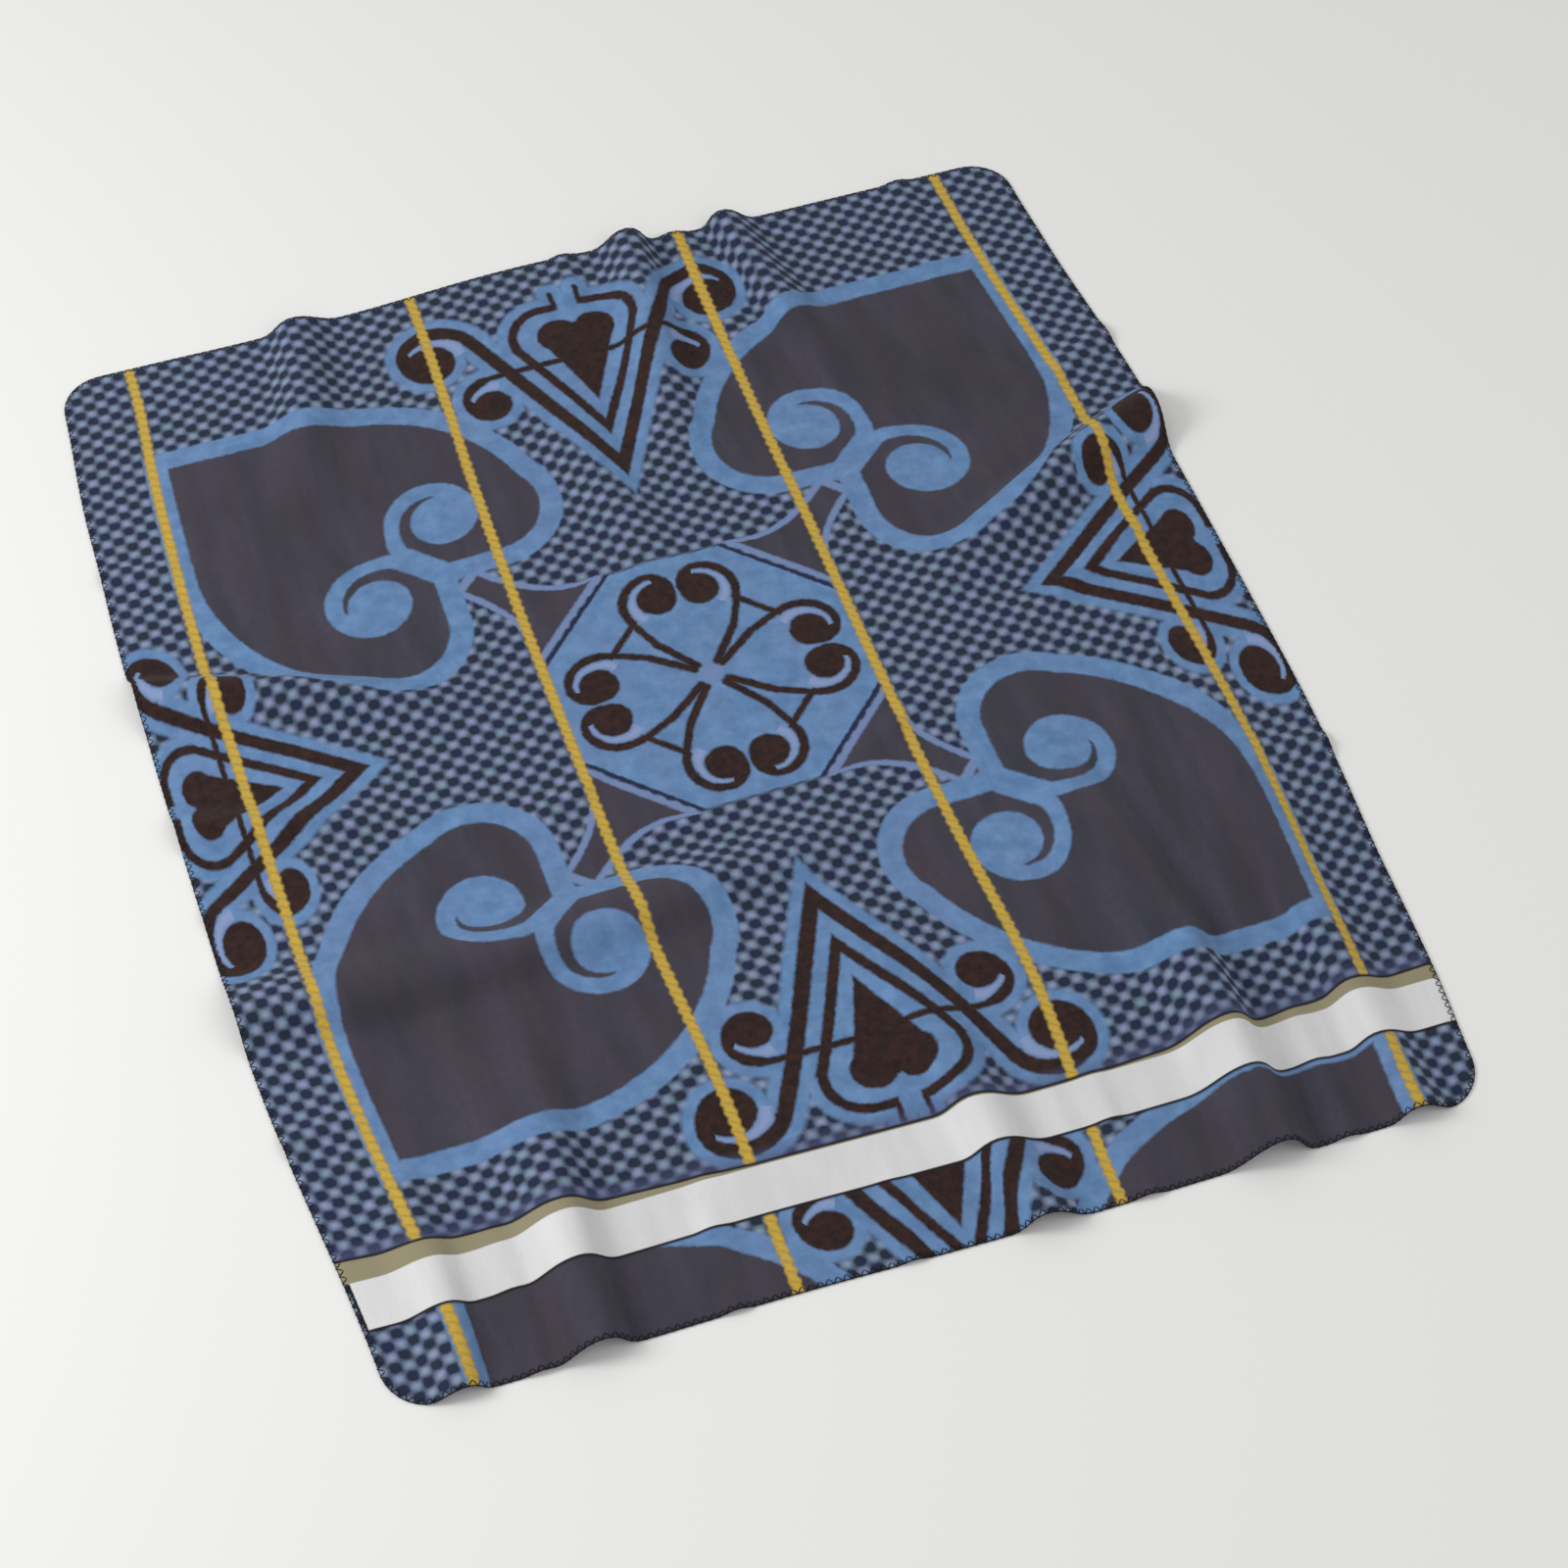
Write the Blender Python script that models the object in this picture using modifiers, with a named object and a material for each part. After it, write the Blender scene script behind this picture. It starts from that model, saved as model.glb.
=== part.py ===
"""Basotho blanket: one sheet of brushed cloth with rounded corners, laid out in its soft folds.

Metres, +Z up. The front hem runs along X on the -Y side and the cloth's length runs along Y.
The cloth lies on Z = 0, and the origin is the centre of its outline on that surface.
"""

from collections import namedtuple
import math

import bpy
import numpy as np

# The cloth as it is cut
CLOTH_WIDTH = 1.27
CLOTH_LENGTH = 1.52
CLOTH_THICKNESS = 0.003
CORNER_RADIUS = 0.05

# The grid of cells: the outer ones share out the corner radius, the inner ones the rest
CORNER_CELLS = 3
INNER_CELLS_ACROSS = 52
INNER_CELLS_ALONG = 62

# Steps in which the curve of a fold's side is worked out, the steepest side that one may have,
# and the number of slopes up to it that are tried
SIDE_STEPS = 24
STEEPEST_SIDE = math.radians(85)
SLOPE_SAMPLES = 86

# Surface finish of the cloth
CLOTH_COLOUR = (0.052, 0.078, 0.150, 1.0)
CLOTH_ROUGHNESS = 0.95

# Each fold's crest runs from (x0, y0) to (x1, y1) on the flat cloth, measured from the cloth's
# centre. width0 and width1 are the cloth's width taken up in the fold at either end, height is
# the crest's height, lean is how much further the left side reaches than the right one, seen
# along the crest, bow bends the crest's line to the left, and fade0 and fade1 are the shares of
# its length over which it dies away at either end. A fold with no fade leaves through the edge.
Fold = namedtuple("Fold", "x0 y0 x1 y1 width0 width1 height lean bow fade0 fade1")
FOLDS = {
    "front_left": Fold(-0.40, -0.80, -0.33, -0.22, 0.120, 0.150, 0.028, 0.15, 0.015, 0.0, 0.75),
    "front_middle": Fold(0.10, -0.80, 0.03, -0.25, 0.105, 0.140, 0.025, -0.15, 0.012, 0.0, 0.70),
    "front_right": Fold(0.37, -0.80, 0.29, -0.06, 0.135, 0.150, 0.033, 0.15, -0.020, 0.0, 0.60),
    "right_side": Fold(0.55, -0.80, 0.51, 0.04, 0.095, 0.125, 0.022, -0.15, 0.012, 0.0, 0.60),
    "cross_front": Fold(-0.67, -0.25, 0.22, -0.19, 0.150, 0.120, 0.026, 0.15, -0.030, 0.0, 0.55),
    "left_upper": Fold(-0.67, 0.24, -0.22, 0.07, 0.130, 0.100, 0.025, -0.20, 0.018, 0.0, 0.60),
    "left_lower": Fold(-0.67, 0.03, -0.34, -0.04, 0.085, 0.075, 0.013, 0.10, 0.0, 0.0, 0.70),
    "right_swell": Fold(0.67, 0.28, 0.22, 0.05, 0.150, 0.115, 0.033, 0.15, -0.022, 0.0, 0.65),
    "far_pinch_left": Fold(0.11, 0.80, 0.05, 0.30, 0.100, 0.135, 0.027, -0.10, 0.012, 0.0, 0.70),
    "far_pinch_right": Fold(0.25, 0.80, 0.34, 0.28, 0.095, 0.125, 0.025, 0.15, -0.012, 0.0, 0.70),
    "far_left": Fold(-0.33, 0.80, -0.42, 0.36, 0.110, 0.130, 0.020, 0.15, 0.012, 0.0, 0.75),
    "left_hem": Fold(-0.56, -0.80, -0.54, -0.38, 0.085, 0.100, 0.016, 0.20, -0.008, 0.0, 0.75),
    "upper_middle": Fold(-0.09, 0.58, -0.01, 0.14, 0.120, 0.110, 0.012, 0.10, 0.020, 0.45, 0.50),
}


def clear_scene():
    for old in list(bpy.data.objects):
        bpy.data.objects.remove(old, do_unlink=True)


def cloth_material():
    material = bpy.data.materials.new("brushed_cloth")
    material.use_nodes = True
    shader = material.node_tree.nodes["Principled BSDF"]
    shader.inputs["Base Color"].default_value = CLOTH_COLOUR
    shader.inputs["Roughness"].default_value = CLOTH_ROUGHNESS
    shader.inputs["Metallic"].default_value = 0.0
    return material


def grid_places(inner_cells, length):
    """Places of the grid's lines along one side, from -length / 2 to length / 2."""
    inner_end = length / 2 - CORNER_RADIUS
    margin = np.linspace(inner_end, length / 2, CORNER_CELLS + 1)[1:]
    inner = np.linspace(-inner_end, inner_end, inner_cells + 1)
    return np.concatenate((-margin[::-1], inner, margin))


def round_corners(x, y):
    """Turns each square corner of the grid into a quarter of a disc."""
    over_x = np.clip((np.abs(x) - CLOTH_WIDTH / 2 + CORNER_RADIUS) / CORNER_RADIUS, 0.0, 1.0)
    over_y = np.clip((np.abs(y) - CLOTH_LENGTH / 2 + CORNER_RADIUS) / CORNER_RADIUS, 0.0, 1.0)
    cut_x = over_x * (1.0 - np.sqrt(1.0 - over_y ** 2 / 2)) * CORNER_RADIUS
    cut_y = over_y * (1.0 - np.sqrt(1.0 - over_x ** 2 / 2)) * CORNER_RADIUS
    return x - np.sign(x) * cut_x, y - np.sign(y) * cut_y


def smooth_start(along, fade):
    """0 before the start, 1 from the share fade on, with a soft change between.

    With no fade the fold keeps its full height, also where it has left the cloth.
    """
    if fade == 0.0:
        return np.ones_like(along)
    step = np.clip(along / fade, 0.0, 1.0)
    return step * step * (3.0 - 2.0 * step)


def climb_side(steepest, share):
    """Rise and run of a fold's side, for a side of length 1, at a share of it from its foot.

    The cloth's slope swells from level at the foot to steepest half way up, and is level
    again at the crest, so the cloth isn't stretched anywhere.
    """
    steps = (np.arange(SIDE_STEPS) + 0.5) / SIDE_STEPS
    slope = steepest * np.sin(math.pi * np.multiply.outer(steps, share))
    return share * np.sin(slope).mean(axis=0), share * np.cos(slope).mean(axis=0)


def raise_fold(fold, x, y):
    """How one fold lifts the cloth's points and draws them in towards its crest."""
    run = np.array((fold.x1 - fold.x0, fold.y1 - fold.y0))
    length = np.hypot(*run)
    run /= length
    left = np.array((-run[1], run[0]))
    along = ((x - fold.x0) * run[0] + (y - fold.y0) * run[1]) / length
    inside = np.clip(along, 0.0, 1.0)
    offset = (x - fold.x0) * left[0] + (y - fold.y0) * left[1]
    offset = offset - fold.bow * 4.0 * inside * (1.0 - inside)
    half_width = (fold.width0 + (fold.width1 - fold.width0) * inside) / 2
    reach = half_width * np.where(offset > 0.0, 1.0 + fold.lean, 1.0 - fold.lean)
    height = fold.height * smooth_start(along, fold.fade0) * smooth_start(1.0 - along, fold.fade1)
    slopes = np.linspace(0.0, STEEPEST_SIDE, SLOPE_SAMPLES)
    full_rises, _ = climb_side(slopes, np.ones_like(slopes))
    steepest = np.interp(height / reach, full_rises, slopes)
    share = 1.0 - np.clip(np.abs(offset) / reach, 0.0, 1.0)
    rise, run_to_point = climb_side(steepest, share)
    _, run_to_crest = climb_side(steepest, np.ones_like(share))
    draw = reach * ((1.0 - share) - (run_to_crest - run_to_point)) * np.sign(offset)
    return reach * rise, -draw * left[0], -draw * left[1]


def lay_cloth(x, y):
    """Places of the flat cloth's points once it lies in its folds, about the outline's centre."""
    folded = [raise_fold(fold, x, y) for fold in FOLDS.values()]
    laid_z = sum(lift for lift, _, _ in folded)
    laid_x = x + sum(move for _, move, _ in folded)
    laid_y = y + sum(move for _, _, move in folded)
    laid_x = laid_x - (laid_x.min() + laid_x.max()) / 2
    laid_y = laid_y - (laid_y.min() + laid_y.max()) / 2
    return laid_x, laid_y, laid_z


def build_blanket(collection):
    lines_x = grid_places(INNER_CELLS_ACROSS, CLOTH_WIDTH)
    lines_y = grid_places(INNER_CELLS_ALONG, CLOTH_LENGTH)
    cells_x = len(lines_x) - 1
    cells_y = len(lines_y) - 1
    bpy.ops.mesh.primitive_grid_add(x_subdivisions=cells_x, y_subdivisions=cells_y, size=2.0)
    blanket = bpy.context.active_object
    blanket.name = "blanket"
    blanket.data.name = "blanket"
    vertices = blanket.data.vertices
    column = np.array([round((v.co.x + 1.0) / 2 * cells_x) for v in vertices])
    row = np.array([round((v.co.y + 1.0) / 2 * cells_y) for v in vertices])
    flat_x, flat_y = round_corners(lines_x[column], lines_y[row])
    laid = np.stack(lay_cloth(flat_x, flat_y), axis=1)
    vertices.foreach_set("co", laid.astype(np.float32).ravel())
    blanket.data.shade_smooth()
    blanket.data.materials.append(cloth_material())
    solidify = blanket.modifiers.new("thickness", "SOLIDIFY")
    solidify.thickness = CLOTH_THICKNESS
    solidify.offset = 1.0
    solidify.use_even_offset = True
    for owner in blanket.users_collection:
        owner.objects.unlink(blanket)
    collection.objects.link(blanket)
    return blanket


def main():
    clear_scene()
    collection = bpy.data.collections.new("basotho_blanket")
    bpy.context.scene.collection.children.link(collection)
    build_blanket(collection)


main()
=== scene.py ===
"""Basotho blanket: brushed cloth with its hearts, scrolls, spades, checked ground and stripes.

Metres, +Z up. The blanket lies in its soft folds on the floor, its front hem on the -Y side. The
pattern is worked out from real sizes on the flat cloth, and it goes with the cloth into the folds.
"""

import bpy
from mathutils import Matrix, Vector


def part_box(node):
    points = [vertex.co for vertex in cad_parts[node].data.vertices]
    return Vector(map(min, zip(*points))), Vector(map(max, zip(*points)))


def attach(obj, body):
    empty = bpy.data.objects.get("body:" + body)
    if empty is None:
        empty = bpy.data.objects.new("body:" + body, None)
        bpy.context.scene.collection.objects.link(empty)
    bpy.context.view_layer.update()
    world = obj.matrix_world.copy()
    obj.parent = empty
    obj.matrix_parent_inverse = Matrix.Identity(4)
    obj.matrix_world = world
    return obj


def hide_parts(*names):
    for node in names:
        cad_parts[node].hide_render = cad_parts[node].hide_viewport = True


bl_info = {
    "name": "Basotho Blanket",
    "version": (1, 0, 0),
    "blender": (4, 5, 0),
    "location": "View3D > Sidebar > Blanket",
    "description": "Lays out a basotho blanket in its folds, with its pattern and its stitched hem",
    "category": "Object",
}

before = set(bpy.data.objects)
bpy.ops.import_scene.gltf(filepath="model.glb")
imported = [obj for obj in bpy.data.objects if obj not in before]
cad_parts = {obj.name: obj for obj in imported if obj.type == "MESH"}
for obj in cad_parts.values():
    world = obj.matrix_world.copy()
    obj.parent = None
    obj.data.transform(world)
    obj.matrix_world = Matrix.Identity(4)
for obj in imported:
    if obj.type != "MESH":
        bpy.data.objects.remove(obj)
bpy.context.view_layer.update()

from collections import namedtuple
import math

import bpy
import numpy as np
from mathutils import Vector

CLOTH_NODE = "blanket"
CLOTH_NAME = "blanket_cloth"
MATH = "ShaderNodeMath"
VECTOR = "ShaderNodeVectorMath"
MIX = "ShaderNodeMix"
DIAGONAL = math.sqrt(0.5)

# The cloth's grid of cells: the outer ones share out the corner radius
CORNER_CELLS = 9
INNER_CELLS_ACROSS = 178
INNER_CELLS_ALONG = 216

# Steps in which the curve of a fold's side is worked out, the steepest side that one may have,
# and the number of slopes up to it that are tried
SIDE_STEPS = 24
STEEPEST_SIDE = math.radians(85)
SLOPE_SAMPLES = 86

# Each fold's crest runs from (x0, y0) to (x1, y1) on the flat cloth, measured from the cloth's
# centre. width0 and width1 are the cloth's width taken up in the fold at either end, height is
# the crest's height, lean is how much further the left side reaches than the right one, seen
# along the crest, bow bends the crest's line to the left, and fade0 and fade1 are the shares of
# its length over which it dies away at either end. A fold with no fade leaves through the edge.
Fold = namedtuple("Fold", "x0 y0 x1 y1 width0 width1 height lean bow fade0 fade1")
FOLDS = {
    "front_left": Fold(-0.40, -0.80, -0.33, -0.22, 0.120, 0.150, 0.028, 0.15, 0.015, 0.0, 0.75),
    "front_middle": Fold(0.10, -0.80, 0.03, -0.25, 0.105, 0.140, 0.025, -0.15, 0.012, 0.0, 0.70),
    "front_right": Fold(0.37, -0.80, 0.29, -0.06, 0.135, 0.150, 0.033, 0.15, -0.020, 0.0, 0.60),
    "right_side": Fold(0.55, -0.80, 0.51, 0.04, 0.095, 0.125, 0.022, -0.15, 0.012, 0.0, 0.60),
    "cross_front": Fold(-0.67, -0.25, 0.22, -0.19, 0.150, 0.120, 0.026, 0.15, -0.030, 0.0, 0.55),
    "left_upper": Fold(-0.67, 0.24, -0.22, 0.07, 0.130, 0.100, 0.025, -0.20, 0.018, 0.0, 0.60),
    "left_lower": Fold(-0.67, 0.03, -0.34, -0.04, 0.085, 0.075, 0.013, 0.10, 0.0, 0.0, 0.70),
    "right_swell": Fold(0.67, 0.28, 0.22, 0.05, 0.150, 0.115, 0.033, 0.15, -0.022, 0.0, 0.65),
    "far_pinch_left": Fold(0.11, 0.80, 0.05, 0.30, 0.100, 0.135, 0.027, -0.10, 0.012, 0.0, 0.70),
    "far_pinch_right": Fold(0.25, 0.80, 0.34, 0.28, 0.095, 0.125, 0.025, 0.15, -0.012, 0.0, 0.70),
    "far_left": Fold(-0.33, 0.80, -0.42, 0.36, 0.110, 0.130, 0.020, 0.15, 0.012, 0.0, 0.75),
    "left_hem": Fold(-0.56, -0.80, -0.54, -0.38, 0.085, 0.100, 0.016, 0.20, -0.008, 0.0, 0.75),
    "upper_middle": Fold(-0.09, 0.58, -0.01, 0.14, 0.120, 0.110, 0.012, 0.10, 0.020, 0.45, 0.50),
    # Small creases beside the folds
    "far_pinch_crease": Fold(0.17, 0.80, 0.20, 0.46, 0.050, 0.070, 0.006, 0.1, 0.008, 0.0, 0.80),
    "far_middle_crease": Fold(0.02, 0.80, -0.03, 0.50, 0.045, 0.060, 0.005, 0.1, 0.006, 0.0, 0.80),
    "far_right_crease": Fold(0.50, 0.80, 0.47, 0.52, 0.050, 0.060, 0.005, -0.1, 0.008, 0.0, 0.70),
    "swell_crease": Fold(0.60, 0.13, 0.32, 0.00, 0.050, 0.045, 0.006, 0.0, 0.012, 0.30, 0.60),
    "right_far_crease": Fold(0.67, 0.44, 0.42, 0.30, 0.055, 0.050, 0.005, 0.1, -0.010, 0.0, 0.70),
    "right_crease": Fold(0.67, -0.28, 0.46, -0.22, 0.050, 0.045, 0.005, 0.1, 0.006, 0.0, 0.70),
    "medallion_crease": Fold(0.24, -0.03, 0.10, -0.13, 0.045, 0.050, 0.005, 0.0, 0.006, 0.4, 0.5),
    "middle_crease": Fold(-0.14, -0.02, -0.29, -0.10, 0.045, 0.050, 0.004, 0.1, 0.006, 0.4, 0.5),
    "front_left_crease": Fold(-0.47, -0.80, -0.46, -0.50, 0.045, 0.055, 0.005, 0.1, 0.005, 0.0, 0.7),
    "hem_left_crease": Fold(-0.25, -0.80, -0.22, -0.52, 0.042, 0.055, 0.005, 0.0, 0.006, 0.0, 0.7),
    "hem_middle_crease": Fold(-0.06, -0.80, -0.05, -0.60, 0.040, 0.05, 0.004, 0.1, 0.0, 0.0, 0.8),
    "hem_right_crease": Fold(0.22, -0.80, 0.20, -0.50, 0.045, 0.055, 0.005, 0.1, 0.006, 0.0, 0.7),
    "corner_crease": Fold(0.46, -0.80, 0.44, -0.44, 0.045, 0.055, 0.005, 0.1, -0.006, 0.0, 0.7),
    "left_far_crease": Fold(-0.67, 0.44, -0.42, 0.36, 0.050, 0.050, 0.005, 0.1, 0.008, 0.0, 0.7),
    "left_crease": Fold(-0.67, -0.10, -0.46, -0.14, 0.045, 0.050, 0.004, 0.1, 0.006, 0.0, 0.7),
    "left_front_crease": Fold(-0.67, -0.44, -0.50, -0.40, 0.045, 0.05, 0.005, 0.1, 0.005, 0.0, 0.7),
}

# Places in the pattern are given in one eighth of the square panel, which repeats all round it:
# far is the larger distance from the panel's centre lines and near is the smaller one. A second
# pair follows the diagonal: out runs along it from the centre, and off is the distance from it.
# The motif at each side has across from the side's middle, and rise from the panel's edge.

# A scroll's outline, turn by turn about its disc's centre: rim is the outer radius of the band
# that curls into the disc, and gap is the radius up to which the ground shows inside that band.
Curl = namedtuple("Curl", "turn rim gap")
HEART_CURLS = (
    Curl(-60, 0.0378, 0.029),
    Curl(-22, 0.0378, 0.029),
    Curl(-14, 0.0378, 0.062),
    Curl(-8, 0.0378, 0.062),
    Curl(0, 0.083, 0.0595),
    Curl(22, 0.077, 0.056),
    Curl(45, 0.0705, 0.0526),
    Curl(75, 0.069, 0.0495),
    Curl(100, 0.067, 0.046),
    Curl(120, 0.064, 0.0425),
    Curl(132, 0.062, 0.040),
    Curl(142, 0.060, 0.029),
    Curl(180, 0.052, 0.029),
    Curl(225, 0.0448, 0.029),
    Curl(260, 0.040, 0.029),
    Curl(300, 0.0378, 0.029),
)
MEDALLION_CURLS = (
    Curl(-60, 0.023, 0.016),
    Curl(-24, 0.023, 0.016),
    Curl(-16, 0.023, 0.0395),
    Curl(-10, 0.023, 0.0395),
    Curl(-2, 0.050, 0.0395),
    Curl(20, 0.0485, 0.037),
    Curl(45, 0.0465, 0.0345),
    Curl(90, 0.043, 0.0315),
    Curl(115, 0.0405, 0.030),
    Curl(124, 0.0395, 0.029),
    Curl(132, 0.038, 0.016),
    Curl(160, 0.033, 0.016),
    Curl(185, 0.028, 0.016),
    Curl(210, 0.0235, 0.016),
    Curl(300, 0.023, 0.016),
)
UPPER_CURLS = (
    Curl(-60, 0.0243, 0.017),
    Curl(-30, 0.0243, 0.017),
    Curl(-24, 0.0243, 0.041),
    Curl(-14, 0.0243, 0.041),
    Curl(-6, 0.050, 0.0405),
    Curl(0, 0.050, 0.038),
    Curl(20, 0.0485, 0.0335),
    Curl(45, 0.0435, 0.031),
    Curl(55, 0.041, 0.0295),
    Curl(63, 0.039, 0.017),
    Curl(90, 0.032, 0.017),
    Curl(130, 0.0265, 0.017),
    Curl(180, 0.0243, 0.017),
    Curl(300, 0.0243, 0.017),
)
LOWER_CURLS = (
    Curl(-60, 0.031, 0.023),
    Curl(-26, 0.031, 0.023),
    Curl(-18, 0.031, 0.0475),
    Curl(-12, 0.031, 0.0475),
    Curl(-2, 0.0665, 0.0488),
    Curl(30, 0.064, 0.0445),
    Curl(64, 0.0605, 0.040),
    Curl(90, 0.055, 0.0375),
    Curl(102, 0.052, 0.036),
    Curl(110, 0.0495, 0.023),
    Curl(150, 0.037, 0.023),
    Curl(200, 0.0315, 0.023),
    Curl(300, 0.031, 0.023),
)
CURL_START = -60

# Where each scroll sits: its disc's centre, the direction from there to where the band arrives,
# and which way the band turns, 1 with the angle from the first axis to the second, else -1
Scroll = namedtuple("Scroll", "first second from_first from_second turning disc curls")
HEART_SCROLL = Scroll(0.333, 0.2316, -DIAGONAL, DIAGONAL, -1, 0.0378, HEART_CURLS)
MEDALLION_SCROLL = Scroll(0.127, 0.0258, -0.55, 0.835, -1, 0.0242, MEDALLION_CURLS)
UPPER_SCROLL = Scroll(0.1285, 0.1675, 0.0, -1.0, 1, 0.0243, UPPER_CURLS)
LOWER_SCROLL = Scroll(0.1855, 0.073, -0.896, -0.4436, 1, 0.031, LOWER_CURLS)

# The wedge between the medallion and a heart: half its width, at places along the diagonal
Wedge = namedtuple("Wedge", "out half_width")
WEDGE = (
    Wedge(0.0, 0.083),
    Wedge(0.176, 0.083),
    Wedge(0.186, 0.077),
    Wedge(0.199, 0.0625),
    Wedge(0.210, 0.051),
    Wedge(0.230, 0.038),
    Wedge(0.251, 0.0295),
    Wedge(0.270, 0.0255),
    Wedge(0.310, 0.0225),
    Wedge(1.0, 0.0225),
)

# Where the wedge starts and ends, and the width of its pale line at its sides and at its end
WEDGE_START = 0.1835
WEDGE_END = 0.330
WEDGE_LINE = 0.0085
WEDGE_END_LINE = 0.012

Disc = namedtuple("Disc", "first second radius")
Line = namedtuple("Line", "start end half_width")

# A heart: the arc of its long side, the lobe by its scrolls, the distance from which its corner
# is straight, its end, the width of its blue band, and its stem
HEART_ARC = Disc(0.2853, 0.3539, 0.270)
HEART_LOBE = Disc(0.330, 0.178, 0.0925)
HEART_CORNER = 0.340
HEART_END = 0.556
HEART_BAND = 0.0275
STEM_END = 0.413
STEM_HALF_WIDTH = 0.017

# The medallion: distances to its flat sides and its cut sides, the cut sides' dark line, and the
# lines of its figure
MEDALLION_FLAT = 0.182
MEDALLION_CUT = 0.1765
MEDALLION_LINE = 0.005
MEDALLION_LINES = (
    Line((0.0165, 0.0120), (0.062, 0.0465), 0.0053),
    Line((0.062, 0.0465), (0.102, 0.0645), 0.0049),
    Line((0.0985, 0.0645), (0.0815, 0.0815), 0.0043),
)

# The side motif: its chevron, its spade, the ring round that and its thin lines. A side is given
# by its direction outwards and the distance at which it lies, with a minus sign.
CHEVRON_SIDE = (0.896, 0.4436, -0.1495)
CHEVRON_WIDTH = 0.018
CHEVRON_FOOT = 0.043
SPADE_LOBE = Disc(0.0245, 0.0795, 0.0255)
SPADE_MIDDLE = Line((0.0, 0.0795), (0.0245, 0.0795), 0.013)
BLADE_SIDE = (0.9285, 0.3714, -0.07465)
RING_FOOT = Line((0.0, 0.0755), (0.036, 0.0755), 0.050)
RING_SIDE_FOOT = 0.087
RING_FROM_CHEVRON = 0.0335
RING_WIDTH = 0.0125
RING_OPENING = 0.0125
RING_OPENING_TOP = 0.050
STEM_LINE = Line((0.0155, 0.030), (0.0165, 0.008), 0.0035)
CROSS_LINE = Line((0.030, 0.122), (0.1285, 0.122), 0.0046)
HALO_WIDTH = 0.014

# Widths of the soft change at edges that aren't as soft as the rest, and how far within its
# outline a pale gap is drawn
CRISP_BLUR = 0.0025
HALO_BLUR = 0.006
GAP_BLUR = 0.008
GAP_EDGE = -0.002

# How far printed edges wander, and the share by which the checked ground's spots stand out from
# its middle shade, with that shade
EDGE_DRIFT = 0.004
SPOT_CONTRAST = 0.74
SPOT_MIDDLE = 0.27

# Beside the white band: the gap at its left end, and the beige sliver's least width, with the
# slope and the width at the middle of the lines along which it widens to the left and right
BAND_LEFT_GAP = 0.006
SLIVER_LEAST = 0.0015
SLIVER_LEFT = (-0.055, -0.00825)
SLIVER_RIGHT = (0.040, -0.0076)

# The stripes: how far their edges swell, the slope of their marks, and their darker rims' width
STRIPE_SWELL = 0.0008
MARK_SLOPE = 0.55
STRIPE_RIM = 0.005

# Heights of the nap on the cloth's faces, on its cut edge and on the thread
FACE_NAP = 0.0008
EDGE_NAP = 0.0004
THREAD_NAP = 0.0003

# The floor's side, and how far it lies below the cloth, so that no two faces lie in one plane
FLOOR_SIZE = 40.0
FLOOR_GAP = 0.0002

# One overlock stitch, from its needle hole out round the cloth's edge and back to the next hole:
# share of the pitch along the hem, distance inside the edge, and height as a share of the cloth
Stitch = namedtuple("Stitch", "along inset height")
STITCH = (
    Stitch(0.0, 0.0060, 0.80),
    Stitch(0.16, 0.0042, 1.12),
    Stitch(0.38, 0.0012, 1.15),
    Stitch(0.50, -0.0008, 0.55),
    Stitch(0.62, 0.0012, 1.15),
    Stitch(0.84, 0.0042, 1.12),
)


def srgb(code):
    """The linear colour, with full alpha, of an sRGB hex code such as '6E95C5'."""
    shares = [int(code[place:place + 2], 16) / 255 for place in (0, 2, 4)]
    linear = [s / 12.92 if s <= 0.04045 else ((s + 0.055) / 1.055) ** 2.4 for s in shares]
    return (*linear, 1.0)


def colour_setting(**shown):
    """A colour with full alpha, given its name, its description and its default."""
    return bpy.props.FloatVectorProperty(size=4, subtype="COLOR", **shown)


class ClothSizes(bpy.types.PropertyGroup):
    width: bpy.props.FloatProperty(
        name="Width", description="Cut width of the cloth, along X", default=1.27, unit="LENGTH")
    length: bpy.props.FloatProperty(
        name="Length", description="Cut length of the cloth, along Y", default=1.52, unit="LENGTH")
    thickness: bpy.props.FloatProperty(
        name="Thickness", description="Thickness of the brushed cloth", default=0.003, unit="LENGTH")
    corner_radius: bpy.props.FloatProperty(
        name="Corner radius", description="Radius of the rounded corners", default=0.05, unit="LENGTH")
    hem_share: bpy.props.FloatProperty(
        name="Hem share", description="Share of the thickness left where the stitches pinch the edge",
        default=0.6, subtype="FACTOR")
    hem_width: bpy.props.FloatProperty(
        name="Hem width", description="How far in from the edge the stitches pinch the cloth",
        default=0.011, unit="LENGTH")
    stitch_pitch: bpy.props.FloatProperty(
        name="Stitch pitch", description="Distance between overlock stitches", default=0.0095,
        unit="LENGTH")
    thread_radius: bpy.props.FloatProperty(
        name="Thread radius", description="Radius of the soft overlock thread", default=0.0006,
        unit="LENGTH")


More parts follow.
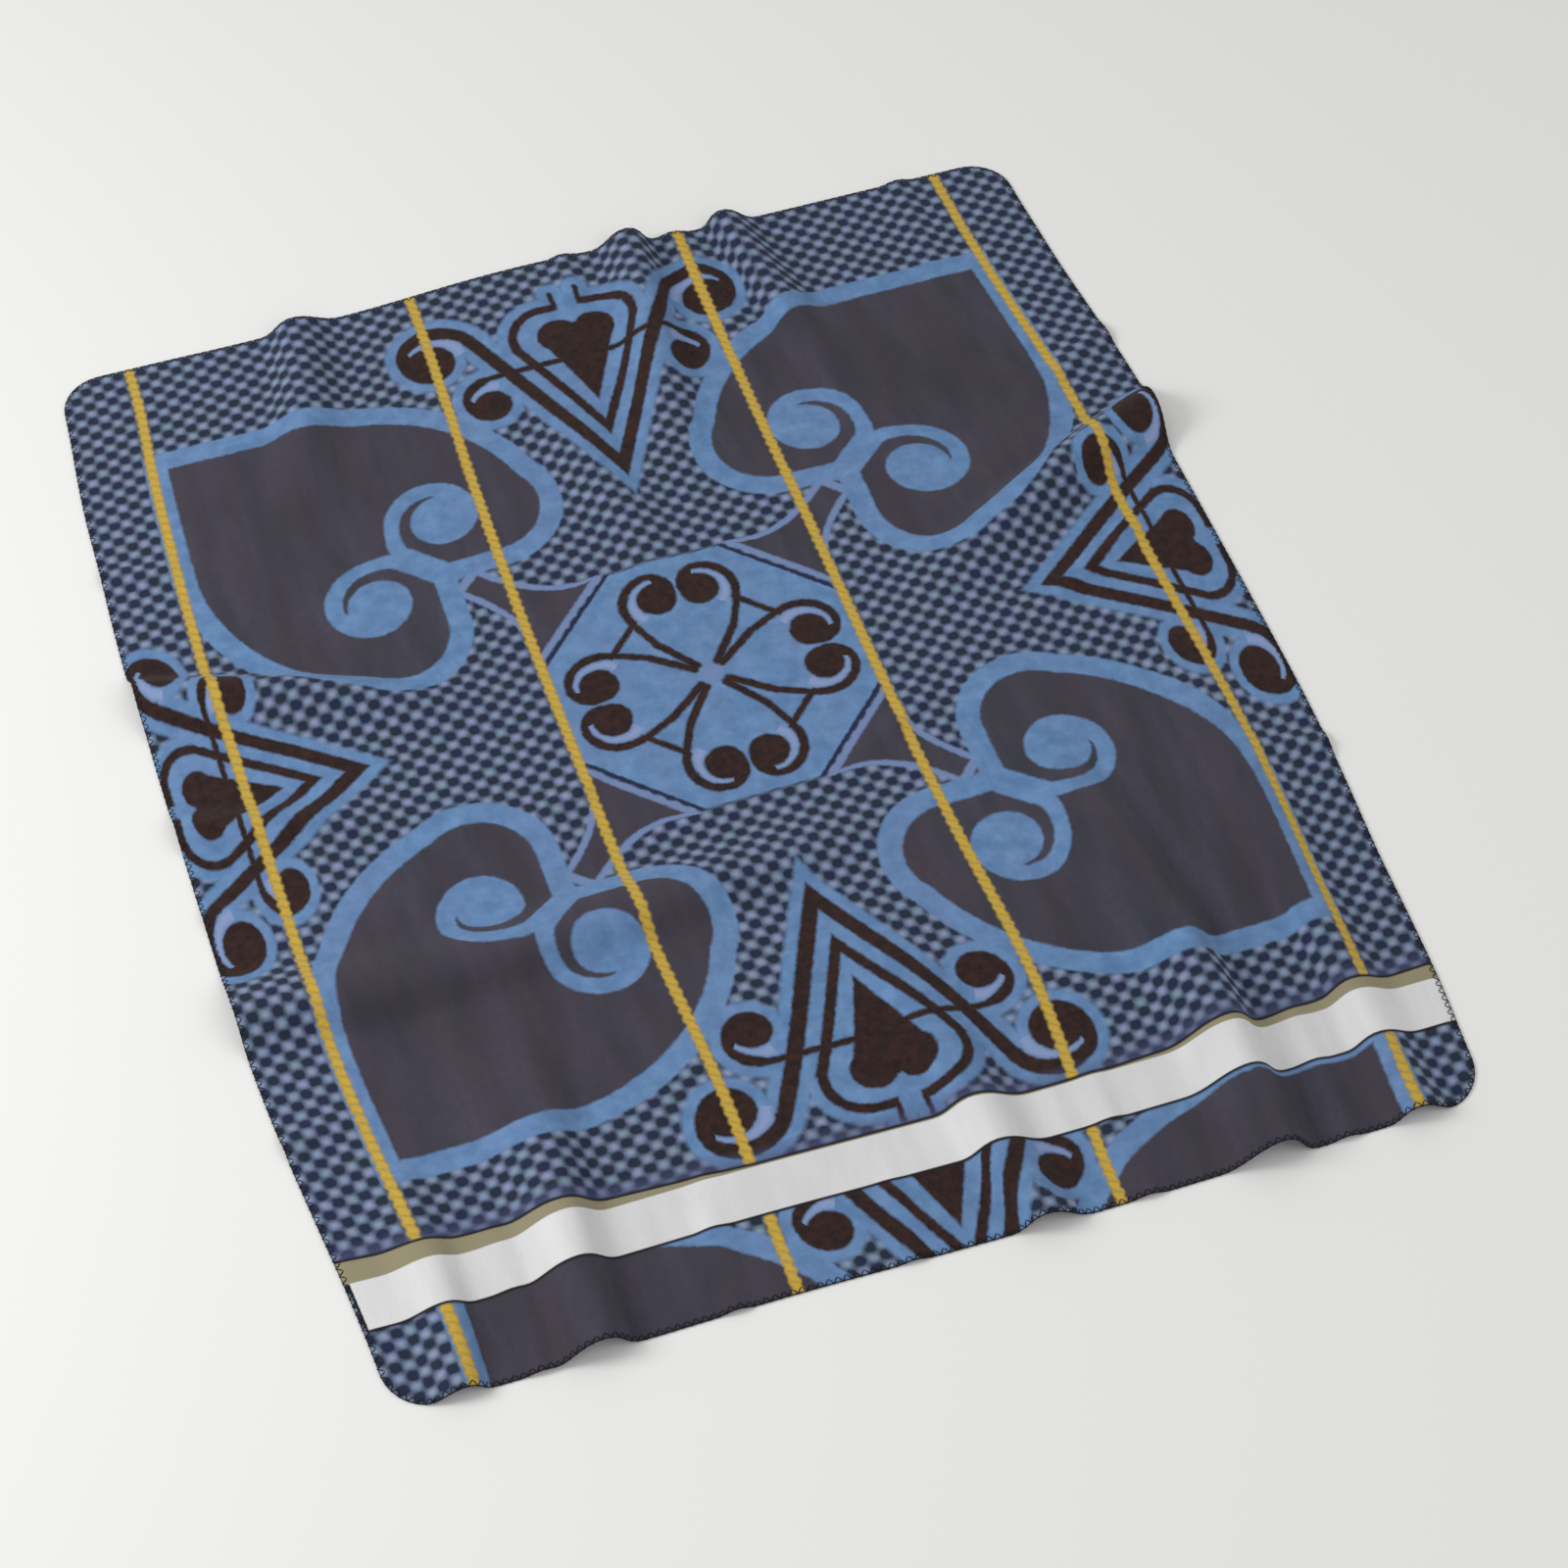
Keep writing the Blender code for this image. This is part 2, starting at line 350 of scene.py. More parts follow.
class PatternSizes(bpy.types.PropertyGroup):
    panel: bpy.props.FloatProperty(
        name="Panel", description="Side of the square panel", default=1.31, unit="LENGTH")
    panel_centre: bpy.props.FloatProperty(
        name="Panel centre", description="How far beyond the cloth's middle the panel's centre lies",
        default=0.052, unit="LENGTH")
    side_rise: bpy.props.FloatProperty(
        name="Side rise", description="How much flatter the left and right motifs are than the others",
        default=1.35, subtype="FACTOR")
    side_across: bpy.props.FloatProperty(
        name="Side across", description="The same for their width, which is a little larger",
        default=0.91, subtype="FACTOR")
    hem_strip: bpy.props.FloatProperty(
        name="Hem strip", description="Width of the patterned strip before the white band",
        default=0.100, unit="LENGTH")
    strip_start: bpy.props.FloatProperty(
        name="Strip start", description="Place along the panel that the front hem shows",
        default=0.430, unit="LENGTH")
    strip_tilt: bpy.props.FloatProperty(
        name="Strip tilt", description="Slope by which the strip is printed askew", default=0.016)
    white_band: bpy.props.FloatProperty(
        name="White band", description="Width of the white band", default=0.057, unit="LENGTH")
    stripe_spacing: bpy.props.FloatProperty(
        name="Stripe spacing", description="Distance between yellow stripes", default=0.365,
        unit="LENGTH")
    stripe_width: bpy.props.FloatProperty(
        name="Stripe width", description="Width of a yellow stripe", default=0.0125, unit="LENGTH")
    check_across: bpy.props.FloatProperty(
        name="Check across", description="Repeat of the checked ground across the cloth",
        default=0.0281, unit="LENGTH")
    check_along: bpy.props.FloatProperty(
        name="Check along", description="Repeat of the checked ground along the cloth",
        default=0.0254, unit="LENGTH")
    blur: bpy.props.FloatProperty(
        name="Blur", description="Width over which one colour runs into the next", default=0.0035,
        unit="LENGTH")


class ClothColours(bpy.types.PropertyGroup):
    light_blue: colour_setting(
        name="Light blue", description="Bands, medallion and halos",
        default=srgb("5C82AE"))
    pale_blue: colour_setting(
        name="Pale blue", description="Lighter patches of the blue",
        default=srgb("7097C4"))
    pale_lilac: colour_setting(
        name="Pale lilac", description="Thin lines beside the wedges, and patches of the blue",
        default=srgb("7589B4"))
    gap_lilac: colour_setting(
        name="Gap lilac", description="Crescents between the brown scrolls and their discs",
        default=srgb("8B9CC6"))
    grey_fill: colour_setting(
        name="Grey fill", description="Fill of hearts and wedges",
        default=srgb("393A44"))
    purple_fill: colour_setting(
        name="Purple fill", description="Lighter streaks of the fill",
        default=srgb("4B4956"))
    plum: colour_setting(
        name="Plum", description="Reddish streaks of the fill",
        default=srgb("513D49"))
    dark_brown: colour_setting(
        name="Dark brown", description="Scrolls, chevrons and spades",
        default=srgb("261817"))
    rust: colour_setting(
        name="Rust", description="Redder specks of the brown",
        default=srgb("422620"))
    dark_green: colour_setting(
        name="Dark green", description="Green specks of the brown and the checks",
        default=srgb("22302F"))
    navy: colour_setting(
        name="Navy", description="Dark spots of the checked ground",
        default=srgb("232B49"))
    check_teal: colour_setting(
        name="Check teal", description="Greener light spots of the checked ground",
        default=srgb("8096AC"))
    check_lilac: colour_setting(
        name="Check lilac", description="Redder light spots of the checked ground",
        default=srgb("8E98BC"))
    # Painted shade: the slate zone where the panel meets the white band; the same colour also gives
    # random specks in the blue
    slate: colour_setting(
        name="Slate", description="Shade where the panel meets the white band",
        default=srgb("4E5378"))
    yellow: colour_setting(
        name="Yellow", description="Stripes", default=srgb("D0AC3E"))
    olive: colour_setting(
        name="Olive", description="Slanting marks in the stripes",
        default=srgb("856C30"))
    white: colour_setting(
        name="White", description="White band", default=srgb("E3E3E4"))
    # Painted shade: the grey of soft streaks along the white band, which stand in for the shade of its
    # folds
    satin_grey: colour_setting(
        name="Satin grey", description="Soft shades in the white band",
        default=srgb("CFCFD0"))
    beige: colour_setting(
        name="Beige", description="Sliver beside the white band",
        default=srgb("968F74"))
    # Painted shadow: the thin dark lines beside the band; the cut edge takes the same dark colour
    edge_line: colour_setting(
        name="Edge line", description="Thin dark lines beside the band, and the cut edge",
        default=srgb("1F1C23"))
    thread: colour_setting(
        name="Thread", description="Overlock thread",
        default=srgb("17161D"))
    reverse: colour_setting(
        name="Reverse", description="Plain underside",
        default=srgb("3C4460"))


class StageSettings(bpy.types.PropertyGroup):
    azimuth: bpy.props.FloatProperty(
        name="Azimuth", description="Camera's bearing, 0 looking along +Y",
        default=math.radians(-19), subtype="ANGLE")
    elevation: bpy.props.FloatProperty(
        name="Elevation", description="Camera's height angle", default=math.radians(52),
        subtype="ANGLE")
    distance: bpy.props.FloatProperty(
        name="Distance", description="Camera's distance from the blanket", default=4.2,
        unit="LENGTH")
    filled: bpy.props.FloatProperty(
        name="Filled", description="Share of the picture's width or height that the blanket fills",
        default=0.96, subtype="FACTOR")
    floor_colour: colour_setting(
        name="Floor colour", description="Pale floor",
        default=srgb("F0F0EE"))


def add_node(tree, kind, *sources, points=(), **settings):
    """Adds a node with its settings, feeds its sockets in their order, and returns its output."""
    node = tree.nodes.new(kind)
    for name, value in settings.items():
        setattr(node, name, value)
    if points:
        knots = node.mapping.curves[0].points
        for _ in points[2:]:
            knots.new(0.5, 0.5)
        for knot, place in zip(knots, points):
            knot.location = place
            knot.handle_type = "AUTO_CLAMPED"
        node.mapping.update()
    sockets = [socket for socket in node.inputs if socket.enabled]
    for socket, source in zip(sockets, sources):
        if isinstance(source, bpy.types.NodeSocket):
            tree.links.new(source, socket)
        elif source is not None:
            socket.default_value = source
    return next((socket for socket in node.outputs if socket.enabled), None)


def disc(tree, place, first, second, radius):
    """Distance outside a disc."""
    reach = add_node(tree, VECTOR, place, (first, second, 1.0), operation="DISTANCE")
    return add_node(tree, MATH, reach, radius, operation="SUBTRACT")


def thick_line(tree, place, start, end, half_width):
    """Distance outside a straight line with round ends."""
    run = (end[0] - start[0], end[1] - start[1], 0.0)
    squared = run[0] ** 2 + run[1] ** 2
    onward = add_node(tree, VECTOR, place, (start[0], start[1], 1.0), operation="SUBTRACT")
    along = add_node(tree, VECTOR, onward, tuple(part / squared for part in run),
                     operation="DOT_PRODUCT")
    share = add_node(tree, "ShaderNodeClamp", along)
    nearest = add_node(tree, VECTOR, run, share, operation="SCALE")
    reach = add_node(tree, VECTOR, onward, nearest, operation="DISTANCE")
    return add_node(tree, MATH, reach, half_width, operation="SUBTRACT")


def scroll(tree, place, shape):
    """Distance outside a disc and the band that curls into it, and outside the gap between them."""
    onward = add_node(tree, VECTOR, place, (shape.first, shape.second, 1.0), operation="SUBTRACT")
    radius = add_node(tree, VECTOR, onward, operation="LENGTH")
    # The angle is cut where it is half a turn from this direction, which is the table's start
    middle = math.radians(CURL_START + 180)
    arrival = math.atan2(shape.from_second, shape.from_first)
    ahead = arrival + shape.turning * middle
    side = ahead + shape.turning * math.pi / 2
    forward = add_node(tree, VECTOR, onward, (math.cos(ahead), math.sin(ahead), 0.0),
                       operation="DOT_PRODUCT")
    sideways = add_node(tree, VECTOR, onward, (math.cos(side), math.sin(side), 0.0),
                        operation="DOT_PRODUCT")
    angle = add_node(tree, MATH, sideways, forward, operation="ARCTAN2")
    turn = add_node(tree, MATH, angle, 0.5 / math.pi, 0.5, operation="MULTIPLY_ADD")
    rim_points = [((curl.turn - CURL_START) / 360, curl.rim) for curl in shape.curls]
    gap_points = [((curl.turn - CURL_START) / 360, curl.gap) for curl in shape.curls]
    rim = add_node(tree, "ShaderNodeFloatCurve", 1.0, turn, points=rim_points)
    gap = add_node(tree, "ShaderNodeFloatCurve", 1.0, turn, points=gap_points)
    past_rim = add_node(tree, MATH, radius, rim, operation="SUBTRACT")
    past_disc = add_node(tree, MATH, radius, shape.disc, operation="SUBTRACT")
    before_band = add_node(tree, MATH, gap, radius, operation="SUBTRACT")
    in_gap = add_node(tree, MATH, past_disc, before_band, operation="MINIMUM")
    past_gap = add_node(tree, MATH, in_gap, -1.0, operation="MULTIPLY")
    return add_node(tree, MATH, past_rim, in_gap, operation="MAXIMUM"), past_gap


def inside(tree, distance, blur, edge=0.0):
    """1 within an outline drawn at the given distance, and 0 beyond it, with a soft change."""
    return add_node(tree, MATH, distance, -1.0 / blur, 0.5 + edge / blur,
                    operation="MULTIPLY_ADD", use_clamp=True)


def uneven_shares(tree, flat, stretch, scale):
    """Three shares, each mostly from 0 to 1, that vary over the cloth on their own."""
    stretched = add_node(tree, VECTOR, flat, stretch, operation="MULTIPLY")
    noise = add_node(tree, "ShaderNodeTexNoise", stretched, scale, 3.0, 0.55)
    spread = add_node(tree, VECTOR, noise.node.outputs["Color"], (3.4,) * 3, (-1.2,) * 3,
                      operation="MULTIPLY_ADD")
    first = add_node(tree, "ShaderNodeSeparateXYZ", spread)
    return first, first.node.outputs["Y"], first.node.outputs["Z"]


def uneven_dye(tree, base, *tints):
    """A dye's colour with its tints, each given as a share over the cloth, an amount and a colour."""
    for share, amount, tint in tints:
        shown = add_node(tree, MATH, share, amount, operation="MULTIPLY", use_clamp=True)
        base = add_node(tree, MIX, shown, base, tint, data_type="RGBA")
    return base


def uneven_places(tree, flat):
    """Where a point is on the flat cloth, moved a little, so that printed edges aren't straight."""
    drift = add_node(tree, "ShaderNodeTexNoise", flat, 130.0, 2.0, 0.6)
    moved = add_node(tree, VECTOR, drift.node.outputs["Color"], (EDGE_DRIFT,) * 3,
                     (-EDGE_DRIFT / 2,) * 3, operation="MULTIPLY_ADD")
    return add_node(tree, VECTOR, flat, moved, operation="ADD")


def panel_places(tree, uneven, sizes, length):
    """One eighth's far and near, the side motif's across and rise, and the panel's x and y."""
    x = add_node(tree, "ShaderNodeSeparateXYZ", uneven)
    y = x.node.outputs["Y"]
    # The strip before the white band repeats the panel's far end
    band_middle = sizes.hem_strip + sizes.white_band / 2 - length / 2
    in_strip = add_node(tree, MATH, y, band_middle, operation="LESS_THAN")
    repeat = sizes.strip_start + length / 2 + sizes.panel_centre
    askew = add_node(tree, MATH, x, sizes.strip_tilt, repeat, operation="MULTIPLY_ADD")
    centred = add_node(tree, MATH, y, sizes.panel_centre, operation="SUBTRACT")
    panel_y = add_node(tree, MATH, in_strip, askew, centred, operation="MULTIPLY_ADD")
    beside = add_node(tree, MATH, x, operation="ABSOLUTE")
    beyond = add_node(tree, MATH, panel_y, operation="ABSOLUTE")
    far = add_node(tree, MATH, beside, beyond, operation="MAXIMUM")
    near = add_node(tree, MATH, beside, beyond, operation="MINIMUM")
    at_side = add_node(tree, MATH, beside, beyond, operation="GREATER_THAN")
    flatter = add_node(tree, MATH, at_side, sizes.side_rise - 1.0, 1.0, operation="MULTIPLY_ADD")
    wider = add_node(tree, MATH, at_side, sizes.side_across - 1.0, 1.0, operation="MULTIPLY_ADD")
    from_edge = add_node(tree, MATH, sizes.panel / 2, far, operation="SUBTRACT")
    rise = add_node(tree, MATH, from_edge, flatter, operation="MULTIPLY")
    across = add_node(tree, MATH, near, wider, operation="MULTIPLY")
    return far, near, across, rise, x, panel_y


def checked_ground(tree, x, y, sizes, light_spot, dark_spot):
    """Light and dark spots in brick order, which run softly into one another."""
    waves = []
    for place, repeat in ((x, sizes.check_across), (y, sizes.check_along)):
        phase = add_node(tree, MATH, place, 2 * math.pi / repeat, operation="MULTIPLY")
        waves.append(add_node(tree, MATH, phase, operation="COSINE"))
    level = add_node(tree, MATH, *waves, operation="MULTIPLY")
    light = add_node(tree, MATH, level, SPOT_CONTRAST, SPOT_MIDDLE, operation="MULTIPLY_ADD",
                     use_clamp=True)
    return add_node(tree, MIX, light, dark_spot, light_spot, data_type="RGBA")


def heart_layers(tree, eighth, far, near, out, off, sizes):
    """Masks of a heart's whole outline, and of its fill less its scrolls and its stem."""
    # The long side is an arc, which stops short of the scrolls; a lobe and the corner complete it
    arc = disc(tree, eighth, *HEART_ARC)
    past_middle = add_node(tree, MATH, HEART_LOBE.first, far, operation="SUBTRACT")
    past_side = add_node(tree, MATH, HEART_LOBE.first - HEART_LOBE.radius, far,
                         operation="SUBTRACT")
    past_stem = add_node(tree, MATH, HEART_LOBE.second, near, operation="SUBTRACT")
    # Steep, so that the fill's line meets its lobe without a step
    past_stem = add_node(tree, MATH, past_stem, 20.0, operation="MULTIPLY")
    shoulder = add_node(tree, MATH, past_side, past_stem, operation="MAXIMUM")
    clip = add_node(tree, MATH, past_middle, shoulder, operation="MINIMUM")
    body = add_node(tree, MATH, arc, clip, operation="MAXIMUM")
    corner = add_node(tree, MATH, HEART_CORNER, near, operation="SUBTRACT")
    lobe = disc(tree, eighth, *HEART_LOBE)
    body = add_node(tree, MATH, body, lobe, operation="MINIMUM")
    body = add_node(tree, MATH, body, corner, operation="MINIMUM")
    straight = add_node(tree, MATH, far, HEART_END, operation="SUBTRACT")
    outline = add_node(tree, MATH, body, straight, operation="MAXIMUM")
    # Stem and scroll
    stem_end = add_node(tree, MATH, out, STEM_END, operation="SUBTRACT")
    stem_side = add_node(tree, MATH, off, STEM_HALF_WIDTH, operation="SUBTRACT")
    stem = add_node(tree, MATH, stem_end, stem_side, operation="MAXIMUM")
    curl, _ = scroll(tree, eighth, HEART_SCROLL)
    blue = add_node(tree, MATH, stem, curl, operation="MINIMUM")
    not_blue = add_node(tree, MATH, blue, -1.0, operation="MULTIPLY")
    inset = add_node(tree, MATH, outline, HEART_BAND, operation="ADD")
    fill = add_node(tree, MATH, inset, not_blue, operation="MAXIMUM")
    return inside(tree, outline, sizes.blur), inside(tree, fill, sizes.blur)


def wedge_layers(tree, out, off, sizes):
    """Masks of the wedge with its pale outline, and of its fill with the neck to the heart."""
    half = add_node(tree, "ShaderNodeFloatCurve", 1.0, out,
                    points=[(row.out, row.half_width) for row in WEDGE])
    side = add_node(tree, MATH, off, half, operation="SUBTRACT")
    start = add_node(tree, MATH, WEDGE_START, out, operation="SUBTRACT")
    end = add_node(tree, MATH, out, WEDGE_END, operation="SUBTRACT")
    ends = add_node(tree, MATH, start, end, operation="MAXIMUM")
    whole = add_node(tree, MATH, side, ends, operation="MAXIMUM")
    inner_start = add_node(tree, MATH, start, WEDGE_LINE, operation="ADD")
    inner_end = add_node(tree, MATH, end, WEDGE_END_LINE, operation="ADD")
    inner_side = add_node(tree, MATH, side, WEDGE_LINE, operation="ADD")
    fill = add_node(tree, MATH, inner_start, inner_end, operation="MAXIMUM")
    fill = add_node(tree, MATH, fill, inner_side, operation="MAXIMUM")
    return inside(tree, whole, sizes.blur), inside(tree, fill, sizes.blur)


def medallion_layers(tree, eighth, out, far, sizes):
    """Masks of the medallion's dark edge line, its eight-sided ground, its scrolls and their gaps."""
    flat_side = add_node(tree, MATH, far, MEDALLION_FLAT, operation="SUBTRACT")
    cut_side = add_node(tree, MATH, out, MEDALLION_CUT, operation="SUBTRACT")
    ground = add_node(tree, MATH, flat_side, cut_side, operation="MAXIMUM")
    cut_line = add_node(tree, MATH, out, MEDALLION_CUT + MEDALLION_LINE, operation="SUBTRACT")
    edge = add_node(tree, MATH, flat_side, cut_line, operation="MAXIMUM")
    figure, gap = scroll(tree, eighth, MEDALLION_SCROLL)
    for line in MEDALLION_LINES:
        figure = add_node(tree, MATH, figure, thick_line(tree, eighth, *line),
                          operation="MINIMUM")
    return (inside(tree, edge, CRISP_BLUR), inside(tree, ground, CRISP_BLUR),
            inside(tree, figure, sizes.blur), inside(tree, gap, GAP_BLUR, GAP_EDGE))


def spade(tree, motif, rise):
    """Distance outside the spade, a blade over two round lobes that run together."""
    lobe = disc(tree, motif, *SPADE_LOBE)
    between = thick_line(tree, motif, *SPADE_MIDDLE)
    lobe = add_node(tree, MATH, lobe, between, operation="MINIMUM")
    blade_side = add_node(tree, VECTOR, motif, BLADE_SIDE, operation="DOT_PRODUCT")
    blade_foot = add_node(tree, MATH, SPADE_LOBE.second, rise, operation="SUBTRACT")
    blade = add_node(tree, MATH, blade_side, blade_foot, operation="MAXIMUM")
    return add_node(tree, MATH, lobe, blade, operation="MINIMUM")


def spade_ring(tree, motif, slant, across, rise):
    """Distance outside the line that runs round the spade and is open at its stem."""
    foot = thick_line(tree, motif, *RING_FOOT)
    side_foot = add_node(tree, MATH, RING_SIDE_FOOT, rise, operation="SUBTRACT")
    outlines = []
    for inset in (0.0, RING_WIDTH):
        round_foot = add_node(tree, MATH, foot, inset, operation="ADD")
        side = add_node(tree, MATH, slant, RING_FROM_CHEVRON + inset, operation="ADD")
        side = add_node(tree, MATH, side, side_foot, operation="MAXIMUM")
        outlines.append(add_node(tree, MATH, round_foot, side, operation="MINIMUM"))
    not_inner = add_node(tree, MATH, outlines[1], -1.0, operation="MULTIPLY")
    ring = add_node(tree, MATH, outlines[0], not_inner, operation="MAXIMUM")
    by_stem = add_node(tree, MATH, RING_OPENING, across, operation="SUBTRACT")
    under_spade = add_node(tree, MATH, RING_OPENING_TOP, rise, operation="SUBTRACT")
    opening = add_node(tree, MATH, by_stem, under_spade, operation="MINIMUM")
    return add_node(tree, MATH, ring, opening, operation="MAXIMUM")


def side_motif_layers(tree, across, rise, sizes):
    """Masks of the halo round a side's dark shapes, of the shapes and of their scrolls' gaps."""
    motif = add_node(tree, "ShaderNodeCombineXYZ", across, rise, 1.0)
    slant = add_node(tree, VECTOR, motif, CHEVRON_SIDE, operation="DOT_PRODUCT")
    band = add_node(tree, MATH, slant, CHEVRON_WIDTH / 2, operation="ADD")
    band = add_node(tree, MATH, band, operation="ABSOLUTE")
    band = add_node(tree, MATH, band, CHEVRON_WIDTH / 2, operation="SUBTRACT")
    band_foot = add_node(tree, MATH, CHEVRON_FOOT, rise, operation="SUBTRACT")
    dark = add_node(tree, MATH, band, band_foot, operation="MAXIMUM")
    upper, upper_gap = scroll(tree, motif, UPPER_SCROLL)
    lower, lower_gap = scroll(tree, motif, LOWER_SCROLL)
    gap = add_node(tree, MATH, upper_gap, lower_gap, operation="MINIMUM")
    shapes = (
        upper,
        lower,
        spade(tree, motif, rise),
        spade_ring(tree, motif, slant, across, rise),
        thick_line(tree, motif, *STEM_LINE),
        thick_line(tree, motif, *CROSS_LINE),
    )
    for shape in shapes:
        dark = add_node(tree, MATH, dark, shape, operation="MINIMUM")
    return (inside(tree, dark, HALO_BLUR, HALO_WIDTH), inside(tree, dark, sizes.blur),
            inside(tree, gap, GAP_BLUR, GAP_EDGE))


def stripe_layers(tree, x, flat, sizes):
    """Masks of the stripes, with edges that swell like a twisted cord's, and of its slanting marks."""
    spacing = sizes.stripe_spacing
    beside = add_node(tree, MATH, x, operation="ABSOLUTE")
    for middle in (spacing, spacing / 2):
        beside = add_node(tree, MATH, beside, middle, operation="SUBTRACT")
        beside = add_node(tree, MATH, beside, operation="ABSOLUTE")
    twist = 4 * math.pi / sizes.check_along
    swell_phase = add_node(tree, VECTOR, flat, (0.0, twist, 0.0), operation="DOT_PRODUCT")
    swell = add_node(tree, MATH, swell_phase, operation="SINE")
    edge = add_node(tree, MATH, swell, -STRIPE_SWELL, beside, operation="MULTIPLY_ADD")
    mark_phase = add_node(tree, VECTOR, flat, (MARK_SLOPE * twist, twist, 0.0),
                          operation="DOT_PRODUCT")
    mark = add_node(tree, MATH, mark_phase, operation="SINE")
    slanting = add_node(tree, MATH, mark, 0.45, -0.1, operation="MULTIPLY_ADD", use_clamp=True)
    # The colour is darker towards the stripe's edges
    rim = inside(tree, edge, STRIPE_RIM, (sizes.stripe_width - STRIPE_RIM) / 2)
    dim = add_node(tree, MATH, 0.6, rim, operation="SUBTRACT", use_clamp=True)
    marks = add_node(tree, MATH, slanting, dim, operation="MAXIMUM")
    return inside(tree, edge, 0.003, sizes.stripe_width / 2), marks


def band_distances(tree, flat, sizes, cloth):
    """Distances outside the white band, and outside the band together with its beige sliver."""
    x = add_node(tree, "ShaderNodeSeparateXYZ", flat)
    y = x.node.outputs["Y"]
    rise = add_node(tree, MATH, y, cloth.length / 2, operation="ADD")
    band_end = sizes.hem_strip + sizes.white_band
    past_band = add_node(tree, MATH, rise, band_end, operation="SUBTRACT")
    before_band = add_node(tree, MATH, sizes.hem_strip, rise, operation="SUBTRACT")
    # The band ends a little before the cloth's left side
    left_end = add_node(tree, MATH, BAND_LEFT_GAP - cloth.width / 2, x, operation="SUBTRACT")
    beside_band = add_node(tree, MATH, band_end, rise, operation="SUBTRACT")
    left_gap = add_node(tree, MATH, left_end, beside_band, operation="MINIMUM")
    before = add_node(tree, MATH, before_band, left_gap, operation="MAXIMUM")
    # The sliver widens to the left, and less so to the right
    leftward = add_node(tree, MATH, x, *SLIVER_LEFT, operation="MULTIPLY_ADD")
    rightward = add_node(tree, MATH, x, *SLIVER_RIGHT, operation="MULTIPLY_ADD")
    sliver = add_node(tree, MATH, leftward, rightward, operation="MAXIMUM")
    sliver = add_node(tree, MATH, sliver, SLIVER_LEAST, operation="MAXIMUM")
    past_sliver = add_node(tree, MATH, past_band, sliver, operation="SUBTRACT")
    return (add_node(tree, MATH, past_band, before, operation="MAXIMUM"),
            add_node(tree, MATH, past_sliver, before, operation="MAXIMUM"),
            past_sliver, before)


